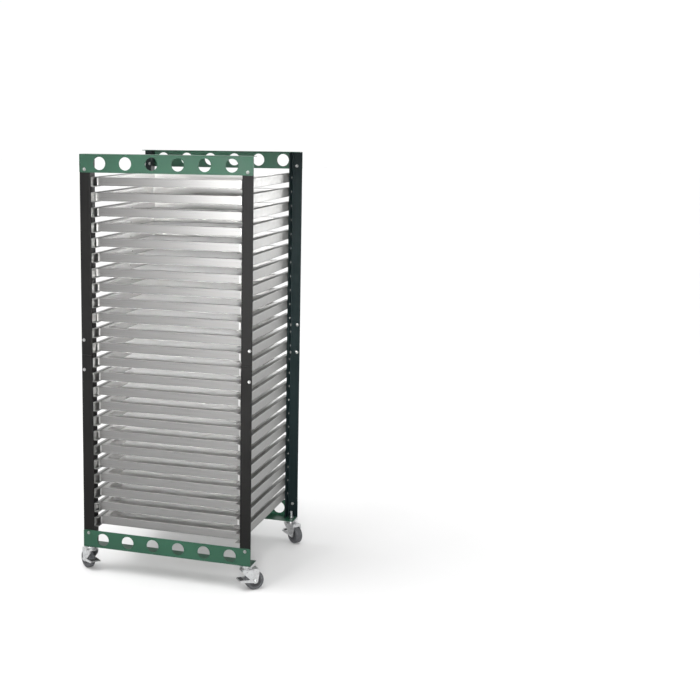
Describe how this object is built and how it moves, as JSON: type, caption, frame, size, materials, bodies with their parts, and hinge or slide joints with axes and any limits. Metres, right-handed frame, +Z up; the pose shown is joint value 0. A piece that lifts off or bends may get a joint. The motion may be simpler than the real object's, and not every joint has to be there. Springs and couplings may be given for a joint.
{
  "type": "screen drying rack",
  "caption": "Tall mobile rack of angle posts and pierced cross plates, with paired channel rails that hold framed mesh screens flat while they dry.",
  "frame": {"origin": "on the floor under the middle of the rack", "axes": "+Z up; -Y is the front, where the screens are loaded; +X to the right seen from the front"},
  "size_m": [0.7928, 0.7026, 1.6989],
  "materials": {
    "black_enamel": "semi-gloss black enamel on angle steel",
    "green_enamel": "satin green enamel on sheet steel",
    "galvanised_steel": "galvanised sheet",
    "mill_aluminium": "mill finish, drawn lengthwise",
    "zinc_plate": "bright zinc plate",
    "grey_rubber": "dark grey rubber"
  },
  "bodies": {
    "rack": {"post_front_left_lower": "black_enamel", "post_front_left_upper": "black_enamel", "post_front_right_lower": "black_enamel", "post_front_right_upper": "black_enamel", "post_rear_left_lower": "black_enamel", "post_rear_left_upper": "black_enamel", "post_rear_right_lower": "black_enamel", "post_rear_right_upper": "black_enamel", "splice_front_left": "black_enamel", "splice_front_right": "black_enamel", "splice_rear_left": "black_enamel", "splice_rear_right": "black_enamel", "cross_plate_front_top": "green_enamel", "cross_plate_front_base": "green_enamel", "cross_plate_rear_top": "green_enamel", "cross_plate_rear_base": "green_enamel", "rails_left_upper": "galvanised_steel", "rails_left_lower": "galvanised_steel", "rails_right_upper": "galvanised_steel", "rails_right_lower": "galvanised_steel", "caster_mount_front_left": "zinc_plate", "caster_mount_front_right": "zinc_plate", "caster_mount_rear_left": "zinc_plate", "caster_mount_rear_right": "zinc_plate"},
    "screen_01": {"screen_01": "mill_aluminium"},
    "screen_02": {"screen_02": "mill_aluminium"},
    "screen_03": {"screen_03": "mill_aluminium"},
    "screen_04": {"screen_04": "mill_aluminium"},
    "screen_05": {"screen_05": "mill_aluminium"},
    "screen_06": {"screen_06": "mill_aluminium"},
    "screen_07": {"screen_07": "mill_aluminium"},
    "screen_08": {"screen_08": "mill_aluminium"},
    "screen_09": {"screen_09": "mill_aluminium"},
    "screen_10": {"screen_10": "mill_aluminium"},
    "screen_11": {"screen_11": "mill_aluminium"},
    "screen_12": {"screen_12": "mill_aluminium"},
    "screen_13": {"screen_13": "mill_aluminium"},
    "screen_14": {"screen_14": "mill_aluminium"},
    "screen_15": {"screen_15": "mill_aluminium"},
    "screen_16": {"screen_16": "mill_aluminium"},
    "screen_17": {"screen_17": "mill_aluminium"},
    "screen_18": {"screen_18": "mill_aluminium"},
    "screen_19": {"screen_19": "mill_aluminium"},
    "screen_20": {"screen_20": "mill_aluminium"},
    "screen_21": {"screen_21": "mill_aluminium"},
    "screen_22": {"screen_22": "mill_aluminium"},
    "screen_23": {"screen_23": "mill_aluminium"},
    "screen_24": {"screen_24": "mill_aluminium"},
    "caster_fork_front_left": {"caster_fork_front_left": "zinc_plate"},
    "caster_wheel_front_left": {"caster_wheel_front_left": "grey_rubber"},
    "caster_pedal_front_left": {"caster_pedal_front_left": "zinc_plate"},
    "caster_fork_front_right": {"caster_fork_front_right": "zinc_plate"},
    "caster_wheel_front_right": {"caster_wheel_front_right": "grey_rubber"},
    "caster_pedal_front_right": {"caster_pedal_front_right": "zinc_plate"},
    "caster_fork_rear_left": {"caster_fork_rear_left": "zinc_plate"},
    "caster_wheel_rear_left": {"caster_wheel_rear_left": "grey_rubber"},
    "caster_pedal_rear_left": {"caster_pedal_rear_left": "zinc_plate"},
    "caster_fork_rear_right": {"caster_fork_rear_right": "zinc_plate"},
    "caster_wheel_rear_right": {"caster_wheel_rear_right": "grey_rubber"},
    "caster_pedal_rear_right": {"caster_pedal_rear_right": "zinc_plate"}
  },
  "joints": [
    {"name": "screen_01_slide", "type": "slide", "parent": "rack", "child": "screen_01", "axis": [0, -1, 0], "range_m": [0, 0.45]},
    {"name": "screen_02_slide", "type": "slide", "parent": "rack", "child": "screen_02", "axis": [0, -1, 0], "range_m": [0, 0.45]},
    {"name": "screen_03_slide", "type": "slide", "parent": "rack", "child": "screen_03", "axis": [0, -1, 0], "range_m": [0, 0.45]},
    {"name": "screen_04_slide", "type": "slide", "parent": "rack", "child": "screen_04", "axis": [0, -1, 0], "range_m": [0, 0.45]},
    {"name": "screen_05_slide", "type": "slide", "parent": "rack", "child": "screen_05", "axis": [0, -1, 0], "range_m": [0, 0.45]},
    {"name": "screen_06_slide", "type": "slide", "parent": "rack", "child": "screen_06", "axis": [0, -1, 0], "range_m": [0, 0.45]},
    {"name": "screen_07_slide", "type": "slide", "parent": "rack", "child": "screen_07", "axis": [0, -1, 0], "range_m": [0, 0.45]},
    {"name": "screen_08_slide", "type": "slide", "parent": "rack", "child": "screen_08", "axis": [0, -1, 0], "range_m": [0, 0.45]},
    {"name": "screen_09_slide", "type": "slide", "parent": "rack", "child": "screen_09", "axis": [0, -1, 0], "range_m": [0, 0.45]},
    {"name": "screen_10_slide", "type": "slide", "parent": "rack", "child": "screen_10", "axis": [0, -1, 0], "range_m": [0, 0.45]},
    {"name": "screen_11_slide", "type": "slide", "parent": "rack", "child": "screen_11", "axis": [0, -1, 0], "range_m": [0, 0.45]},
    {"name": "screen_12_slide", "type": "slide", "parent": "rack", "child": "screen_12", "axis": [0, -1, 0], "range_m": [0, 0.45]},
    {"name": "screen_13_slide", "type": "slide", "parent": "rack", "child": "screen_13", "axis": [0, -1, 0], "range_m": [0, 0.45]},
    {"name": "screen_14_slide", "type": "slide", "parent": "rack", "child": "screen_14", "axis": [0, -1, 0], "range_m": [0, 0.45]},
    {"name": "screen_15_slide", "type": "slide", "parent": "rack", "child": "screen_15", "axis": [0, -1, 0], "range_m": [0, 0.45]},
    {"name": "screen_16_slide", "type": "slide", "parent": "rack", "child": "screen_16", "axis": [0, -1, 0], "range_m": [0, 0.45]},
    {"name": "screen_17_slide", "type": "slide", "parent": "rack", "child": "screen_17", "axis": [0, -1, 0], "range_m": [0, 0.45]},
    {"name": "screen_18_slide", "type": "slide", "parent": "rack", "child": "screen_18", "axis": [0, -1, 0], "range_m": [0, 0.45]},
    {"name": "screen_19_slide", "type": "slide", "parent": "rack", "child": "screen_19", "axis": [0, -1, 0], "range_m": [0, 0.45]},
    {"name": "screen_20_slide", "type": "slide", "parent": "rack", "child": "screen_20", "axis": [0, -1, 0], "range_m": [0, 0.45]},
    {"name": "screen_21_slide", "type": "slide", "parent": "rack", "child": "screen_21", "axis": [0, -1, 0], "range_m": [0, 0.45]},
    {"name": "screen_22_slide", "type": "slide", "parent": "rack", "child": "screen_22", "axis": [0, -1, 0], "range_m": [0, 0.45]},
    {"name": "screen_23_slide", "type": "slide", "parent": "rack", "child": "screen_23", "axis": [0, -1, 0], "range_m": [0, 0.45]},
    {"name": "screen_24_slide", "type": "slide", "parent": "rack", "child": "screen_24", "axis": [0, -1, 0], "range_m": [0, 0.45]},
    {"name": "caster_swivel_front_left", "type": "hinge", "parent": "rack", "child": "caster_fork_front_left", "pos_m": [-0.336, -0.312, 0.038], "axis": [0, 0, 1], "continuous": true},
    {"name": "wheel_spin_front_left", "type": "hinge", "parent": "caster_fork_front_left", "child": "caster_wheel_front_left", "pos_m": [-0.35964, -0.29353, 0.038], "axis": [-0.6157, -0.788, 0], "continuous": true},
    {"name": "brake_press_front_left", "type": "hinge", "parent": "caster_fork_front_left", "child": "caster_pedal_front_left", "pos_m": [-0.35964, -0.29353, 0.038], "axis": [0.6157, 0.788, 0], "range_deg": [0, 18]},
    {"name": "caster_swivel_front_right", "type": "hinge", "parent": "rack", "child": "caster_fork_front_right", "pos_m": [0.336, -0.312, 0.038], "axis": [0, 0, 1], "continuous": true},
    {"name": "wheel_spin_front_right", "type": "hinge", "parent": "caster_fork_front_right", "child": "caster_wheel_front_right", "pos_m": [0.35964, -0.29353, 0.038], "axis": [-0.6157, 0.788, 0], "continuous": true},
    {"name": "brake_press_front_right", "type": "hinge", "parent": "caster_fork_front_right", "child": "caster_pedal_front_right", "pos_m": [0.35964, -0.29353, 0.038], "axis": [0.6157, -0.788, 0], "range_deg": [0, 18]},
    {"name": "caster_swivel_rear_left", "type": "hinge", "parent": "rack", "child": "caster_fork_rear_left", "pos_m": [-0.336, 0.312, 0.038], "axis": [0, 0, 1], "continuous": true},
    {"name": "wheel_spin_rear_left", "type": "hinge", "parent": "caster_fork_rear_left", "child": "caster_wheel_rear_left", "pos_m": [-0.35964, 0.29353, 0.038], "axis": [0.6157, -0.788, 0], "continuous": true},
    {"name": "brake_press_rear_left", "type": "hinge", "parent": "caster_fork_rear_left", "child": "caster_pedal_rear_left", "pos_m": [-0.35964, 0.29353, 0.038], "axis": [-0.6157, 0.788, 0], "range_deg": [0, 18]},
    {"name": "caster_swivel_rear_right", "type": "hinge", "parent": "rack", "child": "caster_fork_rear_right", "pos_m": [0.336, 0.312, 0.038], "axis": [0, 0, 1], "continuous": true},
    {"name": "wheel_spin_rear_right", "type": "hinge", "parent": "caster_fork_rear_right", "child": "caster_wheel_rear_right", "pos_m": [0.35964, 0.29353, 0.038], "axis": [0.6157, 0.788, 0], "continuous": true},
    {"name": "brake_press_rear_right", "type": "hinge", "parent": "caster_fork_rear_right", "child": "caster_pedal_rear_right", "pos_m": [0.35964, 0.29353, 0.038], "axis": [-0.6157, -0.788, 0], "range_deg": [0, 18]}
  ]
}
